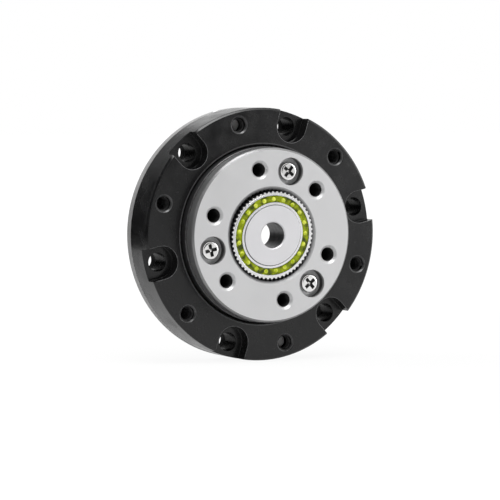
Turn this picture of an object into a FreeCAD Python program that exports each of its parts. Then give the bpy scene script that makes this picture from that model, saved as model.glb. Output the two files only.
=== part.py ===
import FreeCAD, Part
import math
import os
import Sketcher

os.makedirs("parts", exist_ok=True)

# Flat strain wave gear unit with a crossed roller output bearing.
# Every piece is drawn about its own Z axis, the gear axis. Z = 0 is the mounting face at the
# rear and +Z leaves through the output face. The unit then stands with its axis level:
# the output face looks along -Y and +Z is up.

V = FreeCAD.Vector
doc = FreeCAD.newDocument("StrainWaveGear")
sheet = doc.addObject("Spreadsheet::Sheet", "Sizes")

# Sizes in millimetres and degrees. A text that starts with "=" is worked out from other sizes,
# so that walls keep their thickness when the flexspline or a wall changes.
SIZES = [
    # teeth
    ("flex_teeth", 60, "teeth of the flexspline"),
    ("circular_teeth", 62, "teeth of the circular spline"),
    ("flex_inner", 9.95, "mean inner radius of the flexspline at its teeth"),
    ("flex_wall", 0.2, "wall of the flexspline under its teeth"),
    ("flex_tooth_height", 0.3, "height of a flexspline tooth"),
    ("flex_tip_width", 0.34, "width of a flexspline tooth at its tip"),
    ("flex_root_width", 0.6, "width of a flexspline tooth at its root"),
    ("wave_share", 0.977, "part of the ideal wave height that is used"),
    ("wave", "=wave_share*(flex_inner+flex_wall)*(circular_teeth-flex_teeth)/circular_teeth",
     "half the difference between the long and the short radius"),
    ("tip_clearance", 0.03, "from a circular spline tooth's tip to the flexspline's root"),
    ("root_clearance", 0.06, "from a flexspline tooth's tip to the circular spline's root"),
    ("circular_tip", "=flex_inner+flex_wall+wave+tip_clearance",
     "radius to the circular spline's tooth tips"),
    ("circular_root", "=flex_inner+flex_wall+flex_tooth_height+wave+root_clearance",
     "radius to the circular spline's tooth roots"),
    ("space_root_width", 0.46, "width of a tooth space at its root"),
    ("space_tip_width", 0.74, "width of a tooth space at the tooth tips"),
    ("space_lead", 0.25, "how far a tooth space's outline starts inside the tooth tips"),
    ("tooth_chamfer", 0.72, "width of the chamfer round the teeth"),
    ("tooth_chamfer_depth", 0.7, "depth of the chamfer in front of the teeth"),
    # circular spline and bearing inner ring
    ("hub_wall", 1.34, "wall of the toothed hub behind its teeth"),
    ("hub_fit", 0.03, "radial clearance of the toothed hub in the inner ring"),
    ("inner_ring_bore", "=circular_root+hub_wall+hub_fit", "bore radius of the bearing inner ring"),
    ("output_hole_land", 3.52, "from the inner ring's bore to the circle of the output holes"),
    ("output_hole_circle", "=inner_ring_bore+output_hole_land", "radius of the output holes' circle"),
    ("output_tapped_core", 1.65, "radius of the tapped output holes"),
    ("output_tapped_chamfer", 0.6, "chamfer at the mouth of the output holes"),
    ("output_tapped_depth", 8.4, "depth of the output holes from the output face"),
    ("output_holes", 6, "number of tapped output holes"),
    ("output_screws", 3, "number of screws that hold the circular spline"),
    ("counterbore_radius", 3.3, "radius of the recess round each output screw"),
    ("counterbore_depth", 2.4, "depth of the recess round each output screw"),
    ("screw_angle", 30.0, "angle from an output hole to the next output screw"),
    ("output_turn", 41.95, "how far the output is turned in the stored pose"),
    # crossed roller bearing
    ("roller_land", 5.33, "from the circle of the output holes to the roller centres"),
    ("roller_circle", "=output_hole_circle+roller_land", "radius of the circle through the roller centres"),
    ("roller_radius", 1.5, "radius of a roller"),
    ("roller_length", 2.9, "length of a roller"),
    ("roller_edge", 0.15, "chamfer at both ends of a roller"),
    ("roller_spacing", 3.65, "least distance between the centres of neighbouring rollers"),
    ("roller_count", "=2*floor(pi*roller_circle/roller_spacing)", "number of crossed rollers"),
    ("race_clearance", 0.02, "clearance between a roller and each race"),
    ("race_diagonal", "=(roller_radius+race_clearance)*sqrt(2)", "race groove corner from the roller centre"),
    ("spacer_thickness", 0.5, "thickness of a roller spacer"),
    ("spacer_width", 2.5, "side of a roller spacer"),
    ("ring_gap", 0.2, "half the gap between the bearing's two rings"),
    ("inner_ring_radius", "=roller_circle-ring_gap", "outside radius of the bearing inner ring"),
    ("housing_bore", "=roller_circle+ring_gap", "radius of the housing ring's bore"),
    ("output_step", 0.27, "how far the output flange stands back from the inner ring"),
    ("output_radius", "=inner_ring_radius-output_step", "outside radius of the output flange"),
    ("output_edge", 0.45, "chamfer round the output face"),
    ("ring_edge", 0.2, "small chamfer on the rings' hidden edges"),
    ("loading_plug_radius", 1.8, "radius of the plug in the roller loading hole"),
    ("plug_fit", 0.02, "radial clearance of the loading plug"),
    ("plug_pin_radius", 0.6, "radius of the pin through the loading plug"),
    # housing ring
    ("bolt_land", 5.55, "from the roller centres to the circle of the housing holes"),
    ("bolt_circle", "=roller_circle+bolt_land", "radius of the circle through all the housing holes"),
    ("rim_land", 3.4, "from the circle of the housing holes to the rim"),
    ("housing_radius", "=bolt_circle+rim_land", "outside radius of the unit"),
    ("rim_chamfer", 0.5, "chamfer round the housing's front edge"),
    ("bore_chamfer", 0.18, "chamfer at the mouth of the housing's bore"),
    ("housing_holes", 6, "number of through holes, and of tapped holes"),
    ("bolt_clearance", 2.2, "radius of the through holes for M4 screws"),
    ("recess_radius", 3.85, "half width of the screw head recesses"),
    ("recess_depth", 3.15, "depth of the screw head recesses"),
    ("tapped_core", 1.7, "radius of the tapped M4 holes"),
    ("tapped_chamfer", 0.45, "chamfer at the mouth of the housing's tapped holes"),
    ("hole_lead", 15.0, "angle from the ring's own X axis to the holes on both sides of it"),
    ("housing_turn", 28.18, "how far the housing ring is turned in the stored pose"),
    ("cut_past", 1.0, "how far a cut runs on past the surface it leaves through"),
    # heights along the axis
    ("brim_thickness", 2.4, "flexspline brim clamped behind the housing ring"),
    ("bearing_rise", 4.3, "from the brim to the plane of the rollers"),
    ("bearing_plane", "=brim_thickness+bearing_rise", "plane of the crossed rollers"),
    ("bearing_cover", 5.0, "from the plane of the rollers to the housing's front face"),
    ("housing_front", "=bearing_plane+bearing_cover", "front face of the housing ring"),
    ("ring_rise", 1.65, "how far the bearing inner ring stands proud of the housing ring"),
    ("inner_ring_front", "=housing_front+ring_rise", "seat of the circular spline on the inner ring"),
    ("flange_thickness", 3.48, "thickness of the output flange"),
    ("output_face", "=inner_ring_front+flange_thickness", "front face of the circular spline"),
    ("inner_ring_lift", 0.6, "clearance between the brim and the bearing inner ring"),
    ("inner_ring_rear", "=brim_thickness+inner_ring_lift", "rear face of the bearing inner ring"),
    ("tooth_length", 5.83, "length of the circular spline's teeth, chamfer included"),
    ("hub_rear", "=output_face-tooth_length", "rear ends of the toothed hub and of the flexspline's teeth"),
    ("flexspline_proud", 0.17, "how far the flexspline stands out of the output face"),
    ("race_proud", 0.27, "how far the thin races stand out of the output face"),
    ("wave_proud", 0.47, "how far the wave generator plug stands out of the output face"),
    ("flexspline_front", "=output_face+flexspline_proud", "toothed end of the flexspline"),
    ("wave_front", "=output_face+wave_proud", "front face of the wave generator plug"),
    ("wave_race_front", "=output_face+race_proud", "front faces of both thin races"),
    # seals
    ("seal_cover", 1.1, "wall in front of the groove for the front seal"),
    ("seal_groove_front", "=housing_front-seal_cover", "front wall of the groove for the front seal"),
    ("seal_groove_width", 1.0, "width of the groove for the front seal"),
    ("seal_groove_depth", 0.95, "depth of the groove for the front seal"),
    ("seal_groove_radius", "=housing_bore+seal_groove_depth", "floor radius of the front seal's groove"),
    ("seal_fit", 0.05, "clearance round each seal"),
    ("seal_lip_start", 0.25, "front of the seal's lip behind the groove's front wall"),
    ("seal_lip_end", 0.45, "rear of the seal's lip behind the groove's front wall"),
    ("gasket_land", 1.7, "from the housing's bore to the centre of the O-ring"),
    ("gasket_circle", "=housing_bore+gasket_land", "centre radius of the O-ring behind the housing ring"),
    ("gasket_radius", 0.28, "section radius of the O-ring"),
    ("gasket_groove_half", 0.5, "half width of the O-ring groove"),
    ("gasket_groove_depth", 0.6, "depth of the O-ring groove"),
    # flexspline cup
    ("diaphragm_rear", 0.8, "rear face of the diaphragm"),
    ("diaphragm_thickness", 0.4, "thickness of the diaphragm"),
    ("cup_fillet", 1.4, "radius where the cup turns into the diaphragm"),
    ("cup_straight", 0.8, "round length of the cup after its fillet"),
    ("brim_overlap", 8.0, "from the brim's inner edge to the circle of its holes"),
    ("brim_slope", 0.5, "slope between the brim and the diaphragm"),
    ("brim_chamfer", 0.3, "chamfer round the mounting face"),
    ("brim_relief", 2.6, "radius of the brim's open holes behind the tapped holes"),
    # wave generator
    ("outer_race_wall", 0.42, "wall of the outer race beside its groove"),
    ("wave_outer_inside", "=flex_inner-race_fit-outer_race_wall", "mean inside radius of the outer race"),
    ("ball_drop", 0.84, "from the path of the ball centres to the race beside it"),
    ("ball_path", "=wave_outer_inside-ball_drop", "mean radius of the path of the ball centres"),
    ("wave_inner_outside", "=ball_path-ball_drop", "mean outside radius of the inner race"),
    ("inner_race_wall", 0.54, "wall of the inner race beside its groove"),
    ("race_fit", 0.02, "radial clearance inside and outside the thin races"),
    ("plug_radius", "=wave_inner_outside-inner_race_wall-race_fit", "mean radius of the wave generator plug"),
    ("ball_radius", 0.95, "radius of a ball"),
    ("ball_groove", 1.0, "radius of the ball grooves and cage pockets"),
    ("ball_spacing", 2.56, "least distance between the centres of neighbouring balls"),
    ("ball_count", "=floor(2*pi*ball_path/ball_spacing)", "number of balls"),
    ("ball_depth", 2.07, "from the races' front faces to the plane of the balls"),
    ("ball_plane", "=wave_race_front-ball_depth", "plane of the ball centres"),
    ("race_behind", 2.08, "from the plane of the balls to the races' rear faces"),
    ("shoulder_front", "=ball_plane-race_behind", "front face of the plug's shoulder behind the inner race"),
    ("shoulder_length", 0.95, "length of the plug's shoulder"),
    ("plug_rear", "=shoulder_front-shoulder_length", "rear face of the wave generator plug"),
    ("shoulder_height", 0.3, "height of the plug's shoulder"),
    ("boss_length", 2.9, "length of the boss behind the plug"),
    ("boss_rear", "=plug_rear-boss_length", "rear face of the boss"),
    ("boss_radius", 5.0, "radius of the boss behind the plug"),
    ("shaft_bore", 3.0, "radius of the bore for the motor shaft"),
    ("shaft_chamfer", 0.25, "chamfer at both ends of the shaft bore"),
    ("plug_edge", 0.12, "chamfer round the plug's front face"),
    ("cage_fit", 0.08, "clearance between the ball cage and each race"),
    ("cage_inside", "=wave_inner_outside+cage_fit", "mean inside radius of the ball cage"),
    ("cage_outside", "=wave_outer_inside-cage_fit", "mean outside radius of the ball cage"),
    ("cage_behind", 0.48, "from the plane of the balls to the cage's open rear edge"),
    ("cage_sunk", 0.15, "how far the cage's rim lies below the races' front faces"),
    ("cage_rear", "=ball_plane-cage_behind", "open rear edge of the ball cage"),
    ("cage_front", "=wave_race_front-cage_sunk", "closed front rim of the ball cage"),
    # output screws
    ("screw_head_radius", 2.2, "head radius of an output screw"),
    ("screw_head_height", 1.4, "head height of an output screw"),
    ("screw_head_round", 0.8, "rounding of the head's top edge"),
    ("screw_shank", 1.2, "shank radius of an output screw"),
    ("screw_hole", 1.25, "radius of the screw holes in the inner ring"),
    ("screw_hole_spline", 1.35, "radius of the screw holes in the circular spline"),
    ("screw_length", 6.6, "length of an output screw under its head"),
    ("screw_point", 0.3, "chamfer at the end of a screw"),
    ("cross_length", 2.5, "length of each arm pair of the cross recess"),
    ("cross_width", 0.62, "width of the cross recess"),
    ("cross_depth", 0.8, "depth of the cross recess"),
    # brim screws
    ("brim_screw_shank", 1.65, "shank radius of a brim screw"),
    ("brim_screw_head", 3.5, "head radius of a brim screw"),
    ("brim_screw_seat", 0.1, "clearance between a brim screw's head and its countersink"),
    ("brim_screw_inset", 0.1, "how far a brim screw's head lies below the mounting face"),
    ("brim_screw_sunk", 3.7, "depth of the brim screw's end in the tapped hole"),
    ("brim_screw_end", "=housing_front-brim_screw_sunk", "height of the brim screw's end"),
    ("hex_radius", 1.3, "corner radius of the hexagon socket in a brim screw"),
    ("hex_depth", 1.2, "depth of the hexagon socket"),
]

for row, (alias, value, note) in enumerate(SIZES, start=1):
    sheet.setAlias("B%d" % row, alias)
for row, (alias, value, note) in enumerate(SIZES, start=1):
    sheet.set("A%d" % row, alias)
    sheet.set("B%d" % row, str(value))
    sheet.set("C%d" % row, note)
doc.recompute()


def size(alias):
    """Value of a named size."""
    return float(sheet.get(alias))


def bound(text):
    """The same expression as a feature's property needs it."""
    names = sorted((alias for alias, _, _ in SIZES), key=len, reverse=True)
    out = ""
    word = ""
    for letter in text + " ":
        if letter.isalnum() or letter == "_":
            word += letter
            continue
        out += "Sizes." + word if word in names else word
        word = ""
        out += letter
    return out.strip()


trial = doc.addObject("Spreadsheet::Sheet", "Trial")


def worked_out(text):
    """Value of an expression over the named sizes."""
    trial.set("A1", "=" + bound(text))
    doc.recompute([trial])
    return float(trial.get("A1"))


# The wave generator's long axis lies one tooth space below an output hole, so a tooth of the
# flexspline stands in a space of the circular spline there.
WAVE_TURN = size("output_turn") - 360.0 / size("circular_teeth")
STAND_UP = FreeCAD.Rotation(V(1, 0, 0), 90)


def turned(degrees):
    """Placement of a piece on the axis, turned by so many degrees."""
    return FreeCAD.Placement(V(0, 0, 0), STAND_UP.multiply(FreeCAD.Rotation(V(0, 0, 1), degrees)))


def turned_out(degrees, radius):
    """Placement of a piece whose own axis lies off the gear axis."""
    spin = FreeCAD.Rotation(V(0, 0, 1), degrees)
    base = STAND_UP.multVec(spin.multVec(V(radius, 0, 0)))
    return FreeCAD.Placement(base, STAND_UP.multiply(spin))


NEAR = 1e-4
pieces = []


def new_body(name):
    body = doc.addObject("PartDesign::Body", name)
    body.Label = name
    pieces.append(body)
    return body


def origin_feature(body, role):
    for feature in body.Origin.OriginFeatures:
        if feature.Role == role:
            return feature
    raise ValueError(role)


def new_sketch(body, name, role="XY_Plane", height=None):
    sketch = body.newObject("Sketcher::SketchObject", name)
    sketch.AttachmentSupport = [(origin_feature(body, role), "")]
    sketch.MapMode = "FlatFace"
    if height is not None:
        sketch.setExpression("AttachmentOffset.Base.z", bound(height))
    return sketch


def tie(sketch, kind, *args, text):
    """A dimension that follows an expression over the named sizes."""
    index = sketch.addConstraint(Sketcher.Constraint(kind, *args, worked_out(text)))
    sketch.setExpression("Constraints[%d]" % index, bound(text))


def tie_point(sketch, geometry, point, across, up):
    """Fix one point of a sketch at two expressions."""
    if abs(worked_out(across)) < 1e-9:
        sketch.addConstraint(Sketcher.Constraint("PointOnObject", geometry, point, -2))
    else:
        tie(sketch, "DistanceX", -1, 1, geometry, point, text=across)
    if abs(worked_out(up)) < 1e-9:
        sketch.addConstraint(Sketcher.Constraint("PointOnObject", geometry, point, -1))
    else:
        tie(sketch, "DistanceY", -1, 1, geometry, point, text=up)


def draw_polygon(sketch, corners):
    """A closed outline whose corners are pairs of expressions."""
    places = [V(worked_out(across), worked_out(up), 0) for across, up in corners]
    first = None
    for index, place in enumerate(places):
        line = Part.LineSegment(place, places[(index + 1) % len(places)])
        number = sketch.addGeometry(line, False)
        if first is None:
            first = number
    for index in range(len(corners)):
        after = first + (index + 1) % len(corners)
        sketch.addConstraint(Sketcher.Constraint("Coincident", first + index, 2, after, 1))
    for index, (across, up) in enumerate(corners):
        tie_point(sketch, first + index, 1, across, up)


def draw_circle(sketch, across, up, radius):
    centre = V(worked_out(across), worked_out(up), 0)
    number = sketch.addGeometry(Part.Circle(centre, V(0, 0, 1), worked_out(radius)), False)
    tie_point(sketch, number, 3, across, up)
    tie(sketch, "Radius", number, text=radius)


def draw_oval(sketch, mean):
    """The wave generator's shape: long radius along X, short radius along Y."""
    longer = worked_out(mean + "+wave")
    shorter = worked_out(mean + "-wave")
    number = sketch.addGeometry(Part.Ellipse(V(0, 0, 0), longer, shorter), False)
    sketch.exposeInternalGeometry(number)
    sketch.addConstraint(Sketcher.Constraint("Coincident", number, 3, -1, 1))
    sketch.addConstraint(Sketcher.Constraint("Horizontal", number + 1))
    tie(sketch, "Distance", number + 1, 1, number + 1, 2, text="2*(" + mean + "+wave)")
    tie(sketch, "Distance", number + 2, 1, number + 2, 2, text="2*(" + mean + "-wave)")


def volume(body):
    doc.recompute()
    return body.Shape.Volume


def pad(body, sketch, length):
    feature = body.newObject("PartDesign::Pad", sketch.Name + "_pad")
    feature.Profile = sketch
    feature.setExpression("Length", bound(length))
    doc.recompute()
    return feature


def pocket(body, sketch, depth=None, upwards=False):
    """Cut from the sketch down the axis, or up it, and make sure that it cut something."""
    before = volume(body)
    feature = body.newObject("PartDesign::Pocket", sketch.Name + "_cut")
    feature.Profile = sketch
    feature.Reversed = upwards
    if depth is None:
        feature.Type = "ThroughAll"
    else:
        feature.setExpression("Length", bound(depth))
    if not volume(body) < before - 1e-6:
        raise ValueError("nothing cut by " + feature.Name)
    return feature


def revolve(body, sketch):
    feature = body.newObject("PartDesign::Revolution", sketch.Name + "_turned")
    feature.Profile = sketch
    feature.ReferenceAxis = (sketch, ["V_Axis"])
    feature.Angle = 360
    doc.recompute()
    return feature


def repeat(body, features, count, name):
    feature = body.newObject("PartDesign::PolarPattern", name)
    feature.Originals = features
    feature.Axis = (origin_feature(body, "Z_Axis"), [""])
    feature.Angle = 360
    feature.Occurrences = int(count)
    body.Tip = feature
    doc.recompute()
    return feature


def dress_edges(body, name, kind, length, wanted):
    """Chamfer or round every edge that is wanted."""
    base = body.Tip
    found = ["Edge%d" % number for number, edge in enumerate(base.Shape.Edges, start=1) if wanted(edge)]
    if not found:
        raise ValueError("no edge for " + name)
    feature = body.newObject("PartDesign::" + kind, name)
    feature.Base = (base, found)
    feature.setExpression("Radius" if kind == "Fillet" else "Size", bound(length))
    doc.recompute()
    return feature


def round_edge(height, radius):
    """Test for a round edge of one radius at one height."""
    def wanted(edge):
        curve = edge.Curve
        return (isinstance(curve, Part.Circle) and abs(curve.Radius - radius) < NEAR
                and abs(curve.Center.z - height) < NEAR)
    return wanted


def oval_edge(height):
    """Test for an oval edge at one height."""
    def wanted(edge):
        return isinstance(edge.Curve, Part.Ellipse) and abs(edge.Curve.Center.z - height) < NEAR
    return wanted


# Housing ring, with the outer race of the crossed roller bearing cut into its bore
ring = new_body("housing_ring")
profile = new_sketch(ring, "ring_profile", "XZ_Plane")
HALF_OPEN = "(race_diagonal-(housing_bore-roller_circle))"
draw_polygon(profile, [
    ("housing_bore", "brim_thickness"),
    ("gasket_circle-gasket_groove_half", "brim_thickness"),
    ("gasket_circle-gasket_groove_half", "brim_thickness+gasket_groove_depth"),
    ("gasket_circle+gasket_groove_half", "brim_thickness+gasket_groove_depth"),
    ("gasket_circle+gasket_groove_half", "brim_thickness"),
    ("housing_radius", "brim_thickness"),
    ("housing_radius", "housing_front-rim_chamfer"),
    ("housing_radius-rim_chamfer", "housing_front"),
    ("housing_bore+bore_chamfer", "housing_front"),
    ("housing_bore", "housing_front-bore_chamfer"),
    ("housing_bore", "seal_groove_front"),
    ("seal_groove_radius", "seal_groove_front"),
    ("seal_groove_radius", "seal_groove_front-seal_groove_width"),
    ("housing_bore", "seal_groove_front-seal_groove_width"),
    ("housing_bore", "bearing_plane+" + HALF_OPEN),
    ("roller_circle+race_diagonal", "bearing_plane"),
    ("housing_bore", "bearing_plane-" + HALF_OPEN),
])
revolve(ring, profile)



def beside_lead(out, aside):
    """A point so far out along the line of the first through hole, and so far aside of that line."""
    return ("(%s)*cos(hole_lead*1deg)+(%s)*sin(hole_lead*1deg)" % (out, aside),
            "(%s)*cos(hole_lead*1deg)-(%s)*sin(hole_lead*1deg)" % (aside, out))


THROUGH_HOLE = beside_lead("bolt_circle", "0")
recess = new_sketch(ring, "head_recess", "XY_Plane", "housing_front")
draw_circle(recess, *THROUGH_HOLE, "recess_radius")
recess_cut = pocket(ring, recess, "recess_depth")
mouth = new_sketch(ring, "recess_mouth", "XY_Plane", "housing_front")
draw_polygon(mouth, [
    beside_lead("bolt_circle", "-recess_radius"),
    beside_lead("housing_radius+cut_past", "-recess_radius"),
    beside_lead("housing_radius+cut_past", "recess_radius"),
    beside_lead("bolt_circle", "recess_radius"),
])
mouth_cut = pocket(ring, mouth, "recess_depth")
through = new_sketch(ring, "through_hole", "XY_Plane", "housing_front")
draw_circle(through, *THROUGH_HOLE, "bolt_clearance")
through_cut = pocket(ring, through)
tapped = new_sketch(ring, "tapped_hole", "XY_Plane", "housing_front")
draw_circle(tapped, "bolt_circle*cos(hole_lead*1deg)", "bolt_circle*sin(hole_lead*1deg)", "tapped_core")
tapped_cut = pocket(ring, tapped)
repeat(ring, [recess_cut, mouth_cut, through_cut, tapped_cut], size("housing_holes"), "ring_holes")
dress_edges(ring, "tapped_mouths", "Chamfer", "tapped_chamfer",
            round_edge(size("housing_front"), size("tapped_core")))
loading = new_sketch(ring, "loading_hole", "XZ_Plane")
draw_circle(loading, "0", "bearing_plane", "loading_plug_radius")
loading_cut = pocket(ring, loading, "housing_radius+cut_past", upwards=True)
pin_hole = new_sketch(ring, "pin_hole", "XY_Plane", "brim_thickness")
draw_circle(pin_hole, "0", "-bolt_circle", "plug_pin_radius+plug_fit")
pin_cut = pocket(ring, pin_hole, "2*(bearing_plane-brim_thickness)", upwards=True)
ring.Placement = turned(size("housing_turn"))

# Plug that closes the hole the rollers are loaded through, and the pin that keeps it
plug = new_body("loading_plug")
plug_face = new_sketch(plug, "plug_face", "XZ_Plane", "roller_circle+race_diagonal+plug_fit")
draw_circle(plug_face, "0", "bearing_plane", "loading_plug_radius-plug_fit")
plug_length = "housing_radius-roller_circle-race_diagonal-rim_chamfer"
pad(plug, plug_face, plug_length)
plug_pin_hole = new_sketch(plug, "plug_pin_hole", "XY_Plane", "brim_thickness")
draw_circle(plug_pin_hole, "0", "-bolt_circle", "plug_pin_radius+plug_fit")
pocket(plug, plug_pin_hole, "2*(bearing_plane-brim_thickness)", upwards=True)
plug.Placement = turned(size("housing_turn"))

pin = new_body("plug_pin")
pin_face = new_sketch(pin, "pin_face", "XY_Plane", "brim_thickness+plug_fit")
draw_circle(pin_face, "0", "-bolt_circle", "plug_pin_radius")
pad(pin, pin_face, "2*(bearing_plane-brim_thickness-plug_fit)")
pin.Placement = turned(size("housing_turn"))

# Seals
front_seal = new_body("front_seal")
seal_section = new_sketch(front_seal, "seal_section", "XZ_Plane")
SEAL_REAR = "seal_groove_front-seal_groove_width+seal_fit"
draw_polygon(seal_section, [
    ("housing_bore", SEAL_REAR),
    ("seal_groove_radius-seal_fit", SEAL_REAR),
    ("seal_groove_radius-seal_fit", "seal_groove_front-seal_fit"),
    ("housing_bore", "seal_groove_front-seal_fit"),
    ("inner_ring_radius+seal_fit", "seal_groove_front-seal_lip_start"),
    ("inner_ring_radius+seal_fit", "seal_groove_front-seal_lip_end"),
])
revolve(front_seal, seal_section)
front_seal.Placement = turned(size("housing_turn"))

rear_seal = new_body("rear_seal")
gasket_section = new_sketch(rear_seal, "gasket_section", "XZ_Plane")
draw_circle(gasket_section, "gasket_circle", "brim_thickness+0.5*gasket_groove_depth", "gasket_radius")
revolve(rear_seal, gasket_section)
rear_seal.Placement = turned(size("housing_turn"))

# Bearing inner ring, which carries the circular spline
inner = new_body("bearing_inner_ring")
inner_profile = new_sketch(inner, "inner_profile", "XZ_Plane")
INNER_OPEN = "(race_diagonal-(roller_circle-inner_ring_radius))"
draw_polygon(inner_profile, [
    ("inner_ring_bore", "inner_ring_rear"),
    ("inner_ring_radius-ring_edge", "inner_ring_rear"),
    ("inner_ring_radius", "inner_ring_rear+ring_edge"),
    ("inner_ring_radius", "bearing_plane-" + INNER_OPEN),
    ("roller_circle-race_diagonal", "bearing_plane"),
    ("inner_ring_radius", "bearing_plane+" + INNER_OPEN),
    ("inner_ring_radius", "inner_ring_front-ring_edge"),
    ("inner_ring_radius-ring_edge", "inner_ring_front"),
    ("inner_ring_bore", "inner_ring_front"),
])
revolve(inner, inner_profile)
inner_tapped = new_sketch(inner, "inner_tapped", "XY_Plane", "inner_ring_front")
draw_circle(inner_tapped, "output_hole_circle", "0", "output_tapped_core")
inner_tapped_cut = pocket(inner, inner_tapped, "output_tapped_depth-(output_face-inner_ring_front)")
repeat(inner, [inner_tapped_cut], size("output_holes"), "inner_tapped_holes")
inner_screw = new_sketch(inner, "inner_screw", "XY_Plane", "inner_ring_front")
SCREW_ACROSS = "output_hole_circle*cos(screw_angle*1deg)"
SCREW_UP = "output_hole_circle*sin(screw_angle*1deg)"
draw_circle(inner_screw, SCREW_ACROSS, SCREW_UP, "screw_hole")
inner_screw_cut = pocket(inner, inner_screw, "screw_length")
repeat(inner, [inner_screw_cut], size("output_screws"), "inner_screw_holes")
inner.Placement = turned(size("output_turn"))

# Circular spline: the output flange with its internal teeth
spline = new_body("circular_spline")
spline_profile = new_sketch(spline, "spline_profile", "XZ_Plane")
draw_polygon(spline_profile, [
    ("circular_tip", "hub_rear"),
    ("inner_ring_bore-hub_fit-ring_edge", "hub_rear"),
    ("inner_ring_bore-hub_fit", "hub_rear+ring_edge"),
    ("inner_ring_bore-hub_fit", "inner_ring_front"),
    ("output_radius-ring_edge", "inner_ring_front"),
    ("output_radius", "inner_ring_front+ring_edge"),
    ("output_radius", "output_face-output_edge"),
    ("output_radius-output_edge", "output_face"),
    ("circular_root+tooth_chamfer", "output_face"),
    ("circular_tip", "output_face-tooth_chamfer_depth"),
])
revolve(spline, spline_profile)
output_tapped = new_sketch(spline, "output_tapped", "XY_Plane", "output_face")
draw_circle(output_tapped, "output_hole_circle", "0", "output_tapped_core")
output_tapped_cut = pocket(spline, output_tapped)
repeat(spline, [output_tapped_cut], size("output_holes"), "output_tapped_holes")
dress_edges(spline, "output_mouths", "Chamfer", "output_tapped_chamfer",
            round_edge(size("output_face"), size("output_tapped_core")))
counterbore = new_sketch(spline, "counterbore", "XY_Plane", "output_face")
draw_circle(counterbore, SCREW_ACROSS, SCREW_UP, "counterbore_radius")
counterbore_cut = pocket(spline, counterbore, "counterbore_depth")
spline_screw = new_sketch(spline, "spline_screw", "XY_Plane", "output_face")
draw_circle(spline_screw, SCREW_ACROSS, SCREW_UP, "screw_hole_spline")
spline_screw_cut = pocket(spline, spline_screw)
repeat(spline, [counterbore_cut, spline_screw_cut], size("output_screws"), "spline_screw_holes")
space = new_sketch(spline, "tooth_space", "XY_Plane", "output_face")
SPACE_SLOPE = "0.5*(space_tip_width-space_root_width)/(circular_root-circular_tip)"
SPACE_START = "(circular_tip-space_lead)"
SPACE_HALF = "(0.5*space_tip_width+space_lead*" + SPACE_SLOPE + ")"
draw_polygon(space, [
    (SPACE_START, "-" + SPACE_HALF),
    ("circular_root", "-0.5*space_root_width"),
    ("circular_root", "0.5*space_root_width"),
    (SPACE_START, SPACE_HALF),
])
space_cut = pocket(spline, space)
repeat(spline, [space_cut], size("circular_teeth"), "tooth_spaces")
spline.Placement = turned(size("output_turn"))

# Three screws that hold the circular spline on the inner ring
HEAD_SEAT = "output_face-counterbore_depth"
HEAD_TOP = HEAD_SEAT + "+screw_head_height"
for number in range(int(size("output_screws"))):
    screw = new_body("output_screw_%d" % (number + 1))
    shape = new_sketch(screw, "screw_shape_%d" % (number + 1), "XZ_Plane")
    draw_polygon(shape, [
        ("0", HEAD_SEAT + "-screw_length+screw_point"),
        ("screw_shank-screw_point", HEAD_SEAT + "-screw_length+screw_point"),
        ("screw_shank", HEAD_SEAT + "-screw_length+2*screw_point"),
        ("screw_shank", HEAD_SEAT),
        ("screw_head_radius", HEAD_SEAT),
        ("screw_head_radius", HEAD_TOP),
        ("0", HEAD_TOP),
    ])
    revolve(screw, shape)
    dress_edges(screw, "head_round_%d" % (number + 1), "Fillet", "screw_head_round",
                round_edge(worked_out(HEAD_TOP), size("screw_head_radius")))
    cross = new_sketch(screw, "cross_%d" % (number + 1), "XY_Plane", HEAD_TOP)
    draw_polygon(cross, [
        ("0.5*cross_length", "-0.5*cross_width"),
        ("0.5*cross_length", "0.5*cross_width"),
        ("0.5*cross_width", "0.5*cross_width"),
        ("0.5*cross_width", "0.5*cross_length"),
        ("-0.5*cross_width", "0.5*cross_length"),
        ("-0.5*cross_width", "0.5*cross_width"),
        ("-0.5*cross_length", "0.5*cross_width"),
        ("-0.5*cross_length", "-0.5*cross_width"),
        ("-0.5*cross_width", "-0.5*cross_width"),
        ("-0.5*cross_width", "-0.5*cross_length"),
        ("0.5*cross_width", "-0.5*cross_length"),
        ("0.5*cross_width", "-0.5*cross_width"),
    ])
    pocket(screw, cross, "cross_depth")
    angle = size("output_turn") + size("screw_angle") + 360.0 * number / size("output_screws")
    screw.Placement = turned_out(angle, size("output_hole_circle"))

# Two countersunk screws from the rear, which hold the flexspline's brim on the housing ring
HOLE_STEP = 180.0 / size("housing_holes")
SCREWED_HOLES = (2, 8)
HEAD_CONE = "(brim_screw_head-brim_screw_shank)"
for number, hole in enumerate(SCREWED_HOLES, start=1):
    screw = new_body("brim_screw_%d" % number)
    shape = new_sketch(screw, "brim_screw_shape_%d" % number, "XZ_Plane")
    draw_polygon(shape, [
        ("0", "brim_screw_inset"),
        ("brim_screw_head", "brim_screw_inset"),
        ("brim_screw_shank", "brim_screw_inset+" + HEAD_CONE),
        ("brim_screw_shank", "brim_screw_end-screw_point"),
        ("brim_screw_shank-screw_point", "brim_screw_end"),
        ("0", "brim_screw_end"),
    ])
    revolve(screw, shape)
    hexagon = new_sketch(screw, "hexagon_%d" % number, "XY_Plane", "brim_screw_inset")
    draw_polygon(hexagon, [
        ("hex_radius*cos(%ddeg)" % (60 * corner), "hex_radius*sin(%ddeg)" % (60 * corner))
        for corner in range(6)
    ])
    pocket(screw, hexagon, "hex_depth", upwards=True)
    angle = size("housing_turn") + size("hole_lead") + HOLE_STEP * hole
    screw.Placement = turned_out(angle, size("bolt_circle"))

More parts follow.
